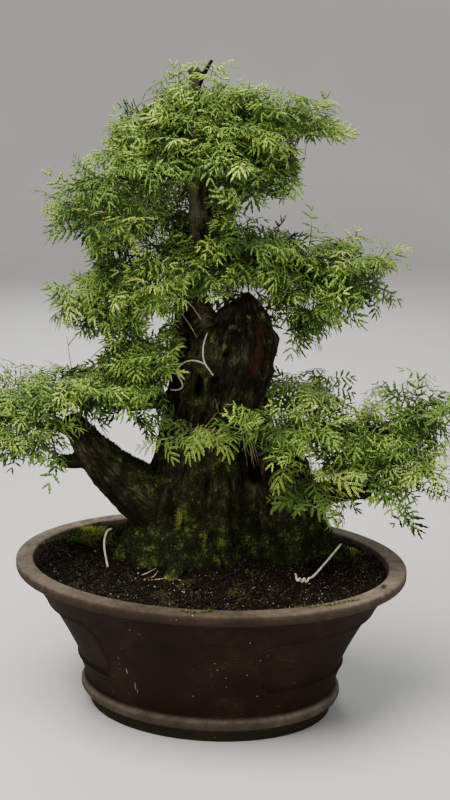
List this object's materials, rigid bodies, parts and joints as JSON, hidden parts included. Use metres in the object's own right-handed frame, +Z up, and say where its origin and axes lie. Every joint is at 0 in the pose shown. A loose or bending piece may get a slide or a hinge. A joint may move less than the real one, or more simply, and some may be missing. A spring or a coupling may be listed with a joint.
{
  "type": "potted bonsai tree",
  "caption": "Bonsai tree with a thick forked trunk and tiers of feathery leafy sprays, rooted in soil in an oval flared stoneware pot.",
  "frame": {"origin": "under the middle of the overall bounding box, on the surface that the pot stands on", "axes": "+Z up; X along the pot's long axis; -Y towards the tree's front, which is turned 15 degrees about Z from the pot's"},
  "size_m": [0.5566, 0.3446, 0.726],
  "materials": {
    "stoneware": "unglazed dark brown stoneware, matt, worn paler on the lip",
    "soil": "damp granular bonsai soil",
    "screen_mesh": "black plastic mesh",
    "bark": "rough dark bark, mossy near the soil",
    "pale_wire": "cream coated wire",
    "foliage": "fresh green leaflets, semi-matt"
  },
  "bodies": {
    "root": {"pot": "stoneware", "soil": "soil", "drain_screen_left": "screen_mesh", "drain_screen_right": "screen_mesh", "trunk": "bark", "anchor_wire_left": "pale_wire", "anchor_wire_right": "pale_wire", "training_wire_hook": "pale_wire", "training_wire_loop": "pale_wire", "spray_apex_left": "foliage", "spray_apex_right": "foliage", "spray_top_left": "foliage", "spray_top_right": "foliage", "spray_top_far_right": "foliage", "spray_top_hanging": "foliage", "spray_top_front": "foliage", "spray_top_back": "foliage", "spray_upper_left": "foliage", "spray_outer_left": "foliage", "spray_left_shoulder": "foliage", "spray_right_shoulder": "foliage", "spray_mid_outer_left": "foliage", "spray_mid_left": "foliage", "spray_mid_low_left": "foliage", "spray_mid_right": "foliage", "spray_mid_far_right": "foliage", "spray_mid_outer_right": "foliage", "spray_mid_low_right": "foliage", "spray_mid_back": "foliage", "spray_low_outer_left": "foliage", "spray_low_hanging_left": "foliage", "spray_low_left": "foliage", "spray_low_inner_left": "foliage", "spray_low_back_left": "foliage", "spray_low_right": "foliage", "spray_low_outer_right": "foliage", "spray_low_hanging_right": "foliage", "spray_low_front_right": "foliage", "spray_front_twig": "foliage", "spray_low_back_right": "foliage", "spray_low_back": "foliage", "spray_mid_front": "foliage", "spray_mid_inner_left": "foliage", "spray_low_trunk_left": "foliage", "spray_low_mid_right": "foliage", "spray_low_under_right": "foliage"}
  },
  "joints": []
}
